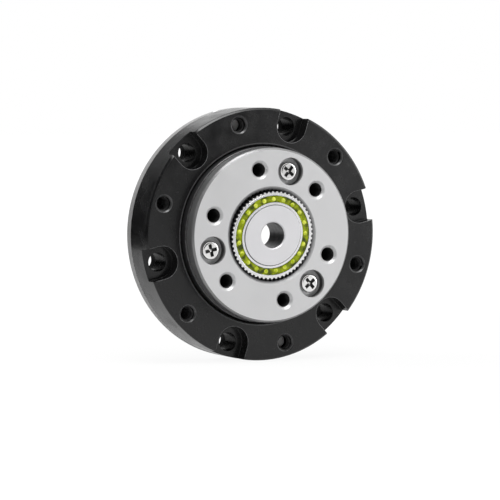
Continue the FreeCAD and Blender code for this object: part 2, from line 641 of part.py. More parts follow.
# Crossed rollers: each leans the other way from its neighbour
rollers = []
spacers = []
LEAN = 45
step = 360.0 / size("roller_count")
for number in range(int(size("roller_count"))):
    lean = LEAN if number % 2 else -LEAN
    roller = Part.makeCylinder(
        size("roller_radius"), size("roller_length"), V(0, 0, -size("roller_length") / 2), V(0, 0, 1))
    roller = roller.makeChamfer(size("roller_edge"), [edge for edge in roller.Edges
                                                      if isinstance(edge.Curve, Part.Circle)])
    side = size("spacer_width")
    spacer = Part.makeBox(side, size("spacer_thickness"), side,
                          V(-side / 2, -size("spacer_thickness") / 2, -side / 2))
    for piece, angle, tilt, kept in ((roller, number * step, lean, rollers),
                                     (spacer, (number + 0.5) * step, LEAN, spacers)):
        piece.rotate(V(0, 0, 0), V(0, 1, 0), tilt)
        piece.translate(V(size("roller_circle"), 0, size("bearing_plane")))
        piece.rotate(V(0, 0, 0), V(0, 0, 1), angle)
        kept.append(piece)


def new_piece(name, shape, degrees):
    """A piece whose form no sketch feature gives: the shape is set, then it is placed."""
    feature = doc.addObject("Part::Feature", name)
    feature.Label = name
    feature.Shape = shape
    feature.Placement = turned(degrees)
    pieces.append(feature)
    return feature


new_piece("cross_rollers", Part.makeCompound(rollers), size("output_turn"))
new_piece("roller_spacers", Part.makeCompound(spacers), size("output_turn"))


def oval(mean, height=0.0):
    """Closed oval edge at one height: long radius along X."""
    curve = Part.Ellipse(V(0, 0, height), mean + size("wave"), mean - size("wave"))
    return Part.Wire([curve.toShape()])


def round_wire(radius, height):
    return Part.Wire([Part.Circle(V(0, 0, height), V(0, 0, 1), radius).toShape()])


def oval_radius(mean, angle):
    longer = mean + size("wave")
    shorter = mean - size("wave")
    return longer * shorter / math.hypot(shorter * math.cos(angle), longer * math.sin(angle))


# Flexspline: toothed end pressed oval by the wave generator, round cup, thin diaphragm and brim
flex_root = size("flex_inner") + size("flex_wall")
cup_round_end = worked_out("diaphragm_rear+diaphragm_thickness+cup_fillet+cup_straight")
flex_tip = flex_root + size("flex_tooth_height")
outline = []
for tooth in range(int(size("flex_teeth"))):
    even = 2 * math.pi * tooth / size("flex_teeth")
    middle = even - 0.5 * size("wave") / flex_root * math.sin(2 * even)
    for mean, width in ((flex_root, -size("flex_root_width")), (flex_tip, -size("flex_tip_width")),
                        (flex_tip, size("flex_tip_width")), (flex_root, size("flex_root_width"))):
        angle = middle + 0.5 * width / mean
        radius = oval_radius(mean, angle)
        outline.append(V(radius * math.cos(angle), radius * math.sin(angle), 0))
outline.append(outline[0])
tooth_length = size("flexspline_front") - size("hub_rear")
toothed = Part.Face(Part.makePolygon(outline)).extrude(V(0, 0, tooth_length))
toothed = toothed.cut(Part.Face(oval(size("flex_inner"))).extrude(V(0, 0, tooth_length)))
toothed.translate(V(0, 0, size("hub_rear")))
outer_cup = Part.makeLoft([round_wire(flex_root, cup_round_end),
                           oval(flex_root, size("hub_rear"))], True, True)
inner_cup = Part.makeLoft([round_wire(size("flex_inner"), cup_round_end),
                           oval(size("flex_inner"), size("hub_rear"))], True, True)
cup = outer_cup.cut(inner_cup)

diaphragm_rear = size("diaphragm_rear")
diaphragm_front = diaphragm_rear + size("diaphragm_thickness")
outer_bend = size("cup_fillet")
inner_bend = outer_bend + size("flex_wall")
brim_top = size("brim_thickness")
brim_inner = size("bolt_circle") - size("brim_overlap")
slope = size("brim_slope")
rim = size("housing_radius")
edge = size("brim_chamfer")
bend_z = diaphragm_front + outer_bend
bend_r = flex_root + outer_bend
corner = math.cos(math.radians(45))
inner_r = size("flex_inner")


def at(radius, height):
    return V(radius, 0, height)


low_bend = bend_z - diaphragm_rear
section = [
    Part.LineSegment(at(rim - edge, 0), at(rim, edge)),
    Part.LineSegment(at(rim, edge), at(rim, brim_top)),
    Part.LineSegment(at(rim, brim_top), at(brim_inner + slope, brim_top)),
    Part.LineSegment(at(brim_inner + slope, brim_top), at(brim_inner, diaphragm_front)),
    Part.LineSegment(at(brim_inner, diaphragm_front), at(bend_r, diaphragm_front)),
    Part.Arc(at(bend_r, diaphragm_front),
             at(bend_r - outer_bend * corner, bend_z - outer_bend * corner), at(flex_root, bend_z)),
    Part.LineSegment(at(flex_root, bend_z), at(flex_root, cup_round_end)),
    Part.LineSegment(at(flex_root, cup_round_end), at(inner_r, cup_round_end)),
    Part.LineSegment(at(inner_r, cup_round_end), at(inner_r, diaphragm_rear + inner_bend)),
    Part.Arc(at(inner_r, diaphragm_rear + inner_bend),
             at(inner_r + inner_bend * (1 - corner), diaphragm_rear + inner_bend * (1 - corner)),
             at(inner_r + inner_bend, diaphragm_rear)),
    Part.LineSegment(at(inner_r + inner_bend, diaphragm_rear), at(brim_inner, diaphragm_rear)),
    Part.LineSegment(at(brim_inner, diaphragm_rear), at(brim_inner + slope, 0)),
    Part.LineSegment(at(brim_inner + slope, 0), at(rim - edge, 0)),
]
brim = Part.Face(Part.Wire([line.toShape() for line in section]))
brim = brim.revolve(V(0, 0, 0), V(0, 0, 1), 360)
past = size("cut_past")
for number in range(2 * int(size("housing_holes"))):
    place = V(size("bolt_circle"), 0, -past)
    hole_radius = size("bolt_clearance") if number % 2 else size("brim_relief")
    hole = Part.makeCylinder(hole_radius, brim_top + 2 * past, place, V(0, 0, 1))
    if number in SCREWED_HOLES:
        seat = size("brim_screw_head") + size("brim_screw_seat")
        neck = size("brim_screw_shank") + size("brim_screw_seat")
        depth = size("brim_screw_inset")
        cone = Part.makeCone(seat, neck, seat - neck, V(size("bolt_circle"), 0, depth), V(0, 0, 1))
        mouth = Part.makeCylinder(seat, depth + past, place, V(0, 0, 1))
        shaft = Part.makeCylinder(neck, brim_top + 2 * past, place, V(0, 0, 1))
        hole = cone.fuse([mouth, shaft])
    angle = size("housing_turn") - WAVE_TURN + size("hole_lead") + HOLE_STEP * number
    hole.rotate(V(0, 0, 0), V(0, 0, 1), angle)
    brim = brim.cut(hole)
flexspline = brim.fuse([cup, toothed]).removeSplitter()
new_piece("flexspline", flexspline, WAVE_TURN)

# Wave generator plug with its shaft bore
cam = new_body("wave_generator_plug")
cam_face = new_sketch(cam, "cam_face", "XY_Plane", "plug_rear")
draw_oval(cam_face, "plug_radius")
draw_circle(cam_face, "0", "0", "shaft_bore")
pad(cam, cam_face, "wave_front-plug_rear")
shoulder = new_sketch(cam, "shoulder", "XY_Plane", "plug_rear")
draw_oval(shoulder, "(plug_radius+shoulder_height)")
draw_circle(shoulder, "0", "0", "shaft_bore")
pad(cam, shoulder, "shoulder_front-plug_rear")
boss = new_sketch(cam, "boss", "XY_Plane", "boss_rear")
draw_circle(boss, "0", "0", "boss_radius")
draw_circle(boss, "0", "0", "shaft_bore")
pad(cam, boss, "plug_rear-boss_rear")
for name, height in (("front_bore_edge", "wave_front"), ("rear_bore_edge", "boss_rear")):
    dress_edges(cam, name, "Chamfer", "shaft_chamfer", round_edge(size(height), size("shaft_bore")))
dress_edges(cam, "front_edge", "Chamfer", "plug_edge", oval_edge(size("wave_front")))
cam.Placement = turned(WAVE_TURN)

# Thin races, bent oval, with a groove for the balls
race_length = V(0, 0, size("wave_race_front") - size("shoulder_front"))
groove_start = V(size("ball_path") + size("wave"), 0, size("ball_plane"))
groove_section = Part.Wire([Part.Circle(groove_start, V(0, 1, 0), size("ball_groove")).toShape()])
groove = oval(size("ball_path"), size("ball_plane")).makePipeShell([groove_section], True, False)
for name, inside, outside in (
        ("wave_inner_race", size("plug_radius") + size("race_fit"), size("wave_inner_outside")),
        ("wave_outer_race", size("wave_outer_inside"), size("flex_inner") - size("race_fit"))):
    race = Part.Face(oval(outside, size("shoulder_front"))).extrude(race_length)
    race = race.cut(Part.Face(oval(inside, size("shoulder_front"))).extrude(race_length))
    new_piece(name, race.cut(groove), WAVE_TURN)

balls = []
pockets = []
for number in range(int(size("ball_count"))):
    angle = 2 * math.pi * (number + 0.5) / size("ball_count")
    radius = oval_radius(size("ball_path"), angle)
    centre = V(radius * math.cos(angle), radius * math.sin(angle), size("ball_plane"))
    balls.append(Part.makeSphere(size("ball_radius"), centre))
    pockets.append(Part.makeSphere(size("ball_groove"), centre))
new_piece("wave_balls", Part.makeCompound(balls), WAVE_TURN)

cage_length = size("cage_front") - size("cage_rear")
cage = Part.Face(oval(size("cage_outside"))).extrude(V(0, 0, cage_length))
cage = cage.cut(Part.Face(oval(size("cage_inside"))).extrude(V(0, 0, cage_length)))
cage.translate(V(0, 0, size("cage_rear")))
cage = cage.cut(pockets)
new_piece("wave_cage", cage, WAVE_TURN)

doc.removeObject(trial.Name)
doc.recompute()
for feature in doc.Objects:
    if "Invalid" in feature.State or "Error" in feature.State:
        raise ValueError(feature.Name + " has an error")
for piece in pieces:
    shape = piece.Shape
    if shape.isNull() or not shape.isValid():
        raise ValueError(piece.Label + " is not a valid solid")
for piece in pieces:
    piece.Shape.exportStep("parts/%s.step" % piece.Label)
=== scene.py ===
"""Strain wave gear unit: finishes, fine pieces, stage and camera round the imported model."""

import math

import bpy
from mathutils import Matrix, Vector


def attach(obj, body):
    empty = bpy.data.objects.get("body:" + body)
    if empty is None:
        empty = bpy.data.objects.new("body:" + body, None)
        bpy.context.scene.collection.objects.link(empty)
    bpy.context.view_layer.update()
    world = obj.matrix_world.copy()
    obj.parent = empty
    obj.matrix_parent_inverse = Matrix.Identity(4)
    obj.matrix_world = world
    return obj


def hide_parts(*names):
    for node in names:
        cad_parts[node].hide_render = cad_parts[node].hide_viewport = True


bl_info = {
    "name": "Strain wave gear unit",
    "version": (1, 0, 0),
    "blender": (4, 5, 0),
    "location": "View3D > Sidebar > Strain Wave Gear",
    "description": "Dresses the packed strain wave gear with its finishes, screws, balls, cage and stage",
    "category": "Object",
}

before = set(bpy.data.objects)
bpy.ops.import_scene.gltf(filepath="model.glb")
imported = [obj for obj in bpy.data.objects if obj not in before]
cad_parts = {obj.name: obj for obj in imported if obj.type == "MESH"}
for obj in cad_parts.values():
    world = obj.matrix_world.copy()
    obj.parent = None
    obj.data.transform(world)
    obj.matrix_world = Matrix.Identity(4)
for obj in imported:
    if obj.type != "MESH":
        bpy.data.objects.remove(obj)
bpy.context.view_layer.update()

# Angles are seen from the output side, from +X towards +Z. Heights run from the mounting
# face at the rear, Y = 0, towards the output face in -Y. All sizes are in metres.
CIRCULAR_TEETH = 62
OUTPUT_TURN = math.radians(41.95)
HOUSING_TURN = math.radians(28.18)
WAVE_TURN = OUTPUT_TURN - 2 * math.pi / CIRCULAR_TEETH
HOLE_LEAD = math.radians(15)
TAPPED_ANGLES = [HOUSING_TURN + HOLE_LEAD + math.radians(60 * number) for number in range(6)]
SCREW_ANGLES = [OUTPUT_TURN + math.radians(30 + 120 * number) for number in range(3)]
OUTPUT_TAPPED_ANGLES = [OUTPUT_TURN + math.radians(60 * number) for number in range(6)]
BRIM_SCREW_HOLES = (1, 4)
STAND_UP = Matrix.Rotation(math.radians(90), 4, "X")

# Housing ring: its faces are told apart by these heights, radii and distances from a hole's axis.
HOUSING_FRONT = 0.0117
BOLT_CIRCLE = 0.0266
BORE_EDGE = 0.02143
RING_EDGE_WIDTH = 0.00012
FRONT_EDGES = HOUSING_FRONT - 0.0004
RECESS_WALLS = HOUSING_FRONT - 0.0028
RECESS_FLOORS = HOUSING_FRONT - 0.0033
TAPPED_WALLS = HOUSING_FRONT - 0.001
INSIDE_RIM = 0.0293
THROUGH_HOLES_START = 0.0235
THROUGH_HOLES_END = 0.0297
TAPPED_MOUTH_REACH = 0.0029
TAPPED_REACH = 0.0019
HOUSING_THREAD_START = 0.0011

# Countersunk screws behind the housing ring
SCREW_END = 0.0074
SOCKET_FRONT = 0.0016
SOCKET_REAR = 0.00015
SOCKET_REACH = 0.00135

# Circular spline and bearing inner ring
OUTPUT_FACE = 0.01683
OUTPUT_HOLE_CIRCLE = 0.01572
TOOTH_CHAMFER_START = 0.0107
TOOTH_CHAMFER_END = 0.0119
TOOTH_CHAMFER_REAR = OUTPUT_FACE - 0.0008
HUB_FRONT = OUTPUT_FACE - 0.0006
FLANGE_WALL = 0.0201
SCREW_RECESS_REACH = 0.0034
SHADE_FRONT = OUTPUT_FACE - 0.0002
SHADE_REAR = OUTPUT_FACE - 0.0012
OUTPUT_TAPPED_WALLS = OUTPUT_FACE - 0.0005
OUTPUT_THREAD_START = 0.00095
INNER_RING_EDGE = 0.0203
INNER_RING_FRONT = HOUSING_FRONT + 0.001

# Flexspline: its cup is parted from its brim at a height at which the wall is round.
BRIM_THICKNESS = 0.0024
BRIM_HOLES_START = 0.02
BRIM_RIM = 0.0296
CUP_START = 0.003
CUP_GAP = 0.00001
CUP_FRONT = 0.0155
CUTTER_REACH = 0.02
TEETH_START = 0.0109
TOOTH_FOOT = 0.01005
WAVE = 0.00032

# Wave generator
SHAFT_BORE_REACH = 0.00305
PLUG_EDGE = 0.0067
PLUG_EDGE_REAR = 0.016
DOME_LENGTH = 0.00056
DOME_WIDTH = 0.0006
DOME_HEIGHT = 0.00024
DOME_FLARE = 0.12

# How much a face looks along the gear axis, from 0 on a wall to 1 on a flat front. Chamfers and
# broken edges lie between EDGE_START and EDGE_END.
WALL = 0.5
EDGE_START = 0.15
EDGE_END = 0.97
CHAMFER_START = 0.3
RECESS_EDGE_END = 0.8
FLAT_FRONT = 0.9

MERGE_DISTANCE = 0.000002
FINISHES = {}


def colour_property(name, description, default):
    return bpy.props.FloatVectorProperty(
        name=name, description=description, subtype="COLOR", size=4, min=0.0, max=1.0, default=default)


def length_property(name, description, default):
    return bpy.props.FloatProperty(
        name=name, description=description, subtype="DISTANCE", unit="LENGTH", precision=5, default=default)


class FinishSettings(bpy.types.PropertyGroup):
    """Colours of the finishes."""

    black_oxide: colour_property("Black oxide", "Housing ring", (0.006, 0.006, 0.0065, 1.0))
    dark_steel: colour_property("Dark steel", "Bearing inner ring", (0.045, 0.045, 0.047, 1.0))
    # Wear and painted highlight: a lighter grey on the housing's broken edges, hole mouths, bore edge line,
    # thread ridges and the inner ring's edge, for both wear and the light those edges catch.
    worn_black: colour_property("Worn black", "Mouths of the housing's holes", (0.1, 0.1, 0.102, 1.0))
    # Wear and painted highlight: light lines along the edges of the housing's recesses.
    bare_edge: colour_property("Bare edge", "Edges of the housing's recesses", (0.17, 0.17, 0.173, 1.0))
    zinc: colour_property("Zinc", "Ends of the countersunk screws", (0.88, 0.88, 0.87, 1.0))
    # Painted shade: the flange's outer wall, turned away from the light, is painted darker than its face.
    wall_steel: colour_property("Wall steel", "Outer wall of the circular spline", (0.3, 0.3, 0.303, 1.0))
    satin_steel: colour_property("Satin steel", "Circular spline", (0.71, 0.71, 0.715, 1.0))
    flexspline_steel: colour_property("Flexspline steel", "Flexspline", (0.55, 0.55, 0.55, 1.0))
    # On the flexspline's tooth ends this bright steel is a painted highlight.
    bearing_steel: colour_property("Bearing steel", "Races, balls and tooth tips", (0.96, 0.96, 0.96, 1.0))
    nickel: colour_property("Nickel plating", "Screws", (0.95, 0.945, 0.935, 1.0))
    # Painted shade: near-black colour on recesses, hole walls, sockets and thread ridges that lie in shade.
    dark_recess: colour_property("Dark recess", "Oiled recesses and threads", (0.02, 0.02, 0.02, 1.0))
    # Painted shade: the outer edge of the flexspline's brim is painted darker than the flexspline.
    brim_steel: colour_property("Brim steel", "Edge of the flexspline's brim", (0.36, 0.36, 0.36, 1.0))
    # Painted shade: dark steel on the teeth, the gaps round them and the faces sunk below the output face.
    cut_steel: colour_property("Cut steel", "Circular spline's teeth and hub", (0.1, 0.1, 0.104, 1.0))
    # Painted shade: the chamfer round the teeth is darker than the output face.
    chamfer_steel: colour_property("Chamfer steel", "Chamfer round the teeth", (0.56, 0.56, 0.565, 1.0))
    # The screw recesses' colour passes into painted shade deeper down.
    counterbore_steel: colour_property("Counterbore steel", "Screw recesses", (0.62, 0.62, 0.625, 1.0))
    # Painted shade: the plug's shaft bore is painted dark.
    bore_steel: colour_property("Bore steel", "Shaft bore", (0.13, 0.13, 0.135, 1.0))
    plug_metal: colour_property("Plug metal", "Wave generator plug", (0.81, 0.805, 0.825, 1.0))
    cage_plastic: colour_property("Cage plastic", "Yellow-green ball cage", (0.5, 0.62, 0.0, 1.0))
    # Painted shade: darker colour in random cloudy patches of the cage, for the shade between the balls.
    cage_shade: colour_property("Cage shade", "Cage's deeper places", (0.07, 0.1, 0.0, 1.0))
    # Painted highlight: bright yellow on the ends of the cage's posts, for the glints of the balls seen
    # through the cage.
    cage_dome: colour_property("Cage dome", "Bright ends of the cage's posts", (0.93, 1.0, 0.12, 1.0))
    spacer_plastic: colour_property("Spacer plastic", "Roller spacers", (0.75, 0.72, 0.62, 1.0))
    rubber: colour_property("Rubber", "Seals", (0.012, 0.012, 0.012, 1.0))


class ScrewSettings(bpy.types.PropertyGroup):
    """Sizes of the small output screws."""

    seat: length_property("Seat", "Height of the screw heads' seat", 0.01443)
    head_radius: length_property("Head radius", "Radius of the pan head", 0.0022)
    head_height: length_property("Head height", "Height of the pan head", 0.0014)
    shank_radius: length_property("Shank radius", "Radius of the threaded shank", 0.0012)
    shank_length: length_property("Shank length", "Length under the head", 0.0066)
    cross_length: length_property("Cross length", "Length of each arm pair of the recess", 0.0031)
    cross_width: length_property("Cross width", "Width of the recess's arms", 0.00074)
    cross_depth: length_property("Cross depth", "Depth of the recess", 0.00055)
    funnel_radius: length_property("Funnel radius", "Radius of the bright funnel in the recess", 0.00038)


class ThreadSettings(bpy.types.PropertyGroup):
    """Sizes of the threads in the tapped holes."""

    pitch: length_property("Pitch", "Distance from one turn to the next", 0.0007)
    housing_core: length_property("Housing core", "Radius of the housing's tapped holes", 0.0017)
    output_core: length_property("Output core", "Radius of the output's tapped holes", 0.00165)
    ridge: length_property("Ridge", "Height of the thread's ridge", 0.00022)


class BallSettings(bpy.types.PropertyGroup):
    """Sizes of the wave generator's ball bearing."""

    path: length_property("Ball path", "Mean radius of the path of the ball centres", 0.00867)
    radius: length_property("Ball radius", "Radius of a ball", 0.00095)
    plane: length_property("Ball plane", "Height of the ball centres", 0.01503)
    count: bpy.props.IntProperty(name="Balls", description="Number of balls", default=21, min=3)
    dome_path: length_property("Dome path", "Mean radius of the path of the cage's domes", 0.00858)
    dome_plane: length_property("Dome plane", "Height of the domes' centres", 0.01682)


class StageSettings(bpy.types.PropertyGroup):
    """Camera and floor."""

    azimuth: bpy.props.FloatProperty(
        name="Azimuth", description="Camera's turn round the object", subtype="ANGLE", unit="ROTATION",
        default=math.radians(-26.129))
    elevation: bpy.props.FloatProperty(
        name="Elevation", description="Camera's height angle", subtype="ANGLE", unit="ROTATION",
        default=math.radians(2.807))
    distance: length_property("Distance", "From the camera to the housing's front face", 0.63845)
    focal_length: bpy.props.FloatProperty(
        name="Focal length", description="Lens of the camera in millimetres", unit="CAMERA", default=194.06)
    floor_height: length_property("Floor height", "Height of the floor", -0.03005)
    floor_colour: colour_property("Floor", "Pale floor", (0.48, 0.48, 0.48, 1.0))


def place(radius, angle, height):
    """Point at a radius and angle round the gear axis, at a height above the mounting face."""
    return Vector((radius * math.cos(angle), -height, radius * math.sin(angle)))


def seat(radius, angle, height):
    """Matrix that sets a piece modelled on the Z axis at a place, pointing out of the output face."""
    return Matrix.Translation(place(radius, angle, height)) @ STAND_UP @ Matrix.Rotation(angle, 4, "Z")


def deselect():
    bpy.ops.object.select_all(action="DESELECT")


def activate(piece):
    deselect()
    piece.select_set(True)
    bpy.context.view_layer.objects.active = piece


def settle(piece, matrix):
    """Put a piece's place into its mesh."""
    activate(piece)
    piece.matrix_world = matrix
    bpy.ops.object.transform_apply(location=True, rotation=True, scale=True)


def fresh(name):
    """Name the primitive just added and put its place into its mesh."""
    piece = bpy.context.active_object
    piece.name = name
    piece.data.name = name
    bpy.ops.object.transform_apply(location=True, rotation=True, scale=True)
    return piece


def apply_modifier(piece, kind, **values):
    activate(piece)
    modifier = piece.modifiers.new(kind.title(), kind)
    for key, value in values.items():
        setattr(modifier, key, value)
    bpy.ops.object.modifier_apply(modifier=modifier.name)


def cut_away(piece, cutter, operation="DIFFERENCE", **values):
    """Cut a piece with another solid, which is kept."""
    apply_modifier(piece, "BOOLEAN", operation=operation, object=cutter, solver="EXACT", **values)


def smooth(piece, degrees):
    activate(piece)
    bpy.ops.object.shade_smooth_by_angle(angle=math.radians(degrees))


def even_shading(piece, degrees=24):
    """Smooth shading in which the large flat faces keep their own direction."""
    smooth(piece, degrees)
    apply_modifier(piece, "WEIGHTED_NORMAL", mode="FACE_AREA", weight=100, keep_sharp=True)


def join(target, *others):
    deselect()
    for piece in (*others, target):
        piece.select_set(True)
    bpy.context.view_layer.objects.active = target
    bpy.ops.object.join()


def copy_piece(piece, name):
    twin = piece.copy()
    twin.data = piece.data.copy()
    twin.name = name
    twin.data.name = name
    bpy.context.scene.collection.objects.link(twin)
    return twin


def dress(piece, *materials):
    piece.data.materials.clear()
    for material in materials:
        piece.data.materials.append(material)


def wear(name, material):
    """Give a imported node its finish, in the slots it already has."""
    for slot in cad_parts[name].material_slots:
        slot.material = material


def remove(*pieces):
    for piece in pieces:
        bpy.data.objects.remove(piece)


def merge_corners(piece):
    """Merge the corners that lie on one another, and go on in edit mode."""
    activate(piece)
    bpy.ops.object.mode_set(mode="EDIT")
    bpy.ops.mesh.select_all(action="SELECT")
    bpy.ops.mesh.remove_doubles(threshold=MERGE_DISTANCE)


def merged_copy(node, name):
    """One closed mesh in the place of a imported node."""
    piece = copy_piece(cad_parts[node], name)
    piece.parent = None
    for key in list(piece.keys()):
        del piece[key]
    merge_corners(piece)
    bpy.ops.mesh.dissolve_limited(angle_limit=math.radians(0.4))
    bpy.ops.object.mode_set(mode="OBJECT")
    return piece


def soften(node, name, body, material, width, clamp=True):
    """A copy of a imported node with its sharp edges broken, as the real piece has them."""
    piece = merged_copy(node, name)
    apply_modifier(piece, "BEVEL", width=width, segments=2, limit_method="ANGLE",
                   angle_limit=math.radians(28), harden_normals=False, use_clamp_overlap=clamp)
    even_shading(piece)
    dress(piece, material)
    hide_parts(node)
    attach(piece, body)
    return piece


def paint(piece, finish, wanted):
    """Give some faces a finish of their own, chosen by centre, radius, height and direction."""
    piece.data.materials.append(FINISHES[finish])
    index = len(piece.data.materials) - 1
    for face in piece.data.polygons:
        centre = face.center
        if wanted(centre, math.hypot(centre.x, centre.z), -centre.y, abs(face.normal.y)):
            face.material_index = index


def beside_holes(centre, circle, angles, reach):
    """Whether a point lies within reach of the axis of one of the holes."""
    return any((centre - place(circle, angle, -centre.y)).length < reach for angle in angles)


def shader(name):
    material = bpy.data.materials.new(name)
    material.use_nodes = True
    tree = material.node_tree
    return material, tree, tree.nodes["Principled BSDF"]


def node(tree, kind, settings=None, **inputs):
    made = tree.nodes.new(kind)
    for key, value in (settings or {}).items():
        setattr(made, key, value)
    for key, value in inputs.items():
        made.inputs[key.replace("_", " ")].default_value = value
    return made


def noise(tree, coordinates, scale, detail=3.0):
    made = node(tree, "ShaderNodeTexNoise", Scale=scale, Detail=detail)
    tree.links.new(coordinates.outputs["Object"], made.inputs["Vector"])
    return made.outputs["Fac"]


def spread(tree, value, low=0.0, high=1.0, start=0.3, stop=0.7):
    """Map a value between start and stop to one between low and high."""
    made = node(tree, "ShaderNodeMapRange", From_Min=start, From_Max=stop, To_Min=low, To_Max=high)
    tree.links.new(value, made.inputs["Value"])
    return made.outputs["Result"]


def blend_colours(tree, amount, first, second):
    mix = node(tree, "ShaderNodeMix", {"data_type": "RGBA"})
    for socket, colour in ((mix.inputs[6], first), (mix.inputs[7], second)):
        if hasattr(colour, "links"):
            tree.links.new(colour, socket)
        else:
            socket.default_value = colour
    tree.links.new(amount, mix.inputs["Factor"])
    return mix.outputs[2]


def raise_surface(tree, height, strength, distance, below=None):
    bump = node(tree, "ShaderNodeBump", Strength=strength, Distance=distance)
    tree.links.new(height, bump.inputs["Height"])
    if below is not None:
        tree.links.new(below, bump.inputs["Normal"])
    return bump.outputs["Normal"]


def shaded(colour, share):
    return (colour[0] * share, colour[1] * share, colour[2] * share, 1.0)


def turned_metal(name, colour, metallic, rough, rings, depth, shade=0.9, specular=0.5,
                 fleck=None, deep=None, line=None):
    """Metal with fine turning marks round the gear axis, cloudy roughness and slight colour change.

    The colour may darken between two heights over the mounting face, as painted shade deeper down in a
    recess, and a fine line of another colour may run round the gear axis, as wear and painted edge highlight.
    """
    material, tree, principled = shader(name)
    coordinates = node(tree, "ShaderNodeTexCoord")
    cloud = spread(tree, noise(tree, coordinates, scale=90.0, detail=5.0))
    base = blend_colours(tree, cloud, colour, shaded(colour, shade))
    # Painted shade: the colour darkens between two heights, deeper down into a recess.
    if deep is not None:
        shade_colour, front, rear = deep
        parts = node(tree, "ShaderNodeSeparateXYZ")
        tree.links.new(coordinates.outputs["Object"], parts.inputs[0])
        shade_share = spread(tree, parts.outputs["Y"], start=-front, stop=-rear)
        base = blend_colours(tree, shade_share, base, shade_colour)
    if line is not None:
        line_colour, radius, half_width = line
        across = node(tree, "ShaderNodeVectorMath", {"operation": "MULTIPLY"})
        across.inputs[1].default_value = (1, 0, 1)
        tree.links.new(coordinates.outputs["Object"], across.inputs[0])
        out = node(tree, "ShaderNodeVectorMath", {"operation": "LENGTH"})
        tree.links.new(across.outputs[0], out.inputs[0])
        close = node(tree, "ShaderNodeMath", {"operation": "COMPARE"})
        close.inputs[1].default_value = radius
        close.inputs[2].default_value = half_width
        tree.links.new(out.outputs["Value"], close.inputs[0])
        base = blend_colours(tree, close.outputs[0], base, line_colour)
    if fleck is not None:
        specks = spread(tree, noise(tree, coordinates, scale=1500.0, detail=2.0), start=0.66, stop=0.74)
        base = blend_colours(tree, specks, base, fleck)
    tree.links.new(base, principled.inputs["Base Color"])
    roughness = spread(tree, noise(tree, coordinates, scale=260.0, detail=4.0), *rough)
    tree.links.new(roughness, principled.inputs["Roughness"])
    marks = node(tree, "ShaderNodeTexWave", {"wave_type": "RINGS", "rings_direction": "Y"},
                 Scale=rings, Distortion=1.2, Detail=2.0, Detail_Scale=3.0)
    tree.links.new(coordinates.outputs["Object"], marks.inputs["Vector"])
    turned = raise_surface(tree, marks.outputs["Fac"], strength=0.25, distance=depth)
    grain = noise(tree, coordinates, scale=2500.0)
    tree.links.new(raise_surface(tree, grain, strength=0.25, distance=depth, below=turned),
                   principled.inputs["Normal"])
    principled.inputs["Metallic"].default_value = metallic
    principled.inputs["Specular IOR Level"].default_value = specular
    return material


def plain_polish(name, colour, metallic, rough, grain, depth, shade=0.92, specular=0.5):
    """Smooth surface with faint grain."""
    material, tree, principled = shader(name)
    coordinates = node(tree, "ShaderNodeTexCoord")
    cloud = spread(tree, noise(tree, coordinates, scale=700.0))
    tree.links.new(blend_colours(tree, cloud, colour, shaded(colour, shade)), principled.inputs["Base Color"])
    roughness = spread(tree, noise(tree, coordinates, scale=900.0), *rough)
    tree.links.new(roughness, principled.inputs["Roughness"])
    tree.links.new(raise_surface(tree, noise(tree, coordinates, grain), strength=0.15, distance=depth),
                   principled.inputs["Normal"])
    principled.inputs["Metallic"].default_value = metallic
    principled.inputs["Specular IOR Level"].default_value = specular
    return material


def cloudy_plastic(name, colour, shade, scale, transmission):
    """Glossy tinted plastic, darker in random cloudy patches that on the cage stand for painted shade."""
    material, tree, principled = shader(name)
    coordinates = node(tree, "ShaderNodeTexCoord")
    cloud = spread(tree, noise(tree, coordinates, scale, detail=2.0), start=0.38, stop=0.62)
    tree.links.new(blend_colours(tree, cloud, colour, shade), principled.inputs["Base Color"])
    roughness = spread(tree, noise(tree, coordinates, scale=1400.0), low=0.12, high=0.24)
    tree.links.new(roughness, principled.inputs["Roughness"])
    grain = noise(tree, coordinates, scale=2200.0)
    tree.links.new(raise_surface(tree, grain, strength=0.12, distance=0.000006),
                   principled.inputs["Normal"])
    principled.inputs["Transmission Weight"].default_value = transmission
    principled.inputs["IOR"].default_value = 1.4
    return material


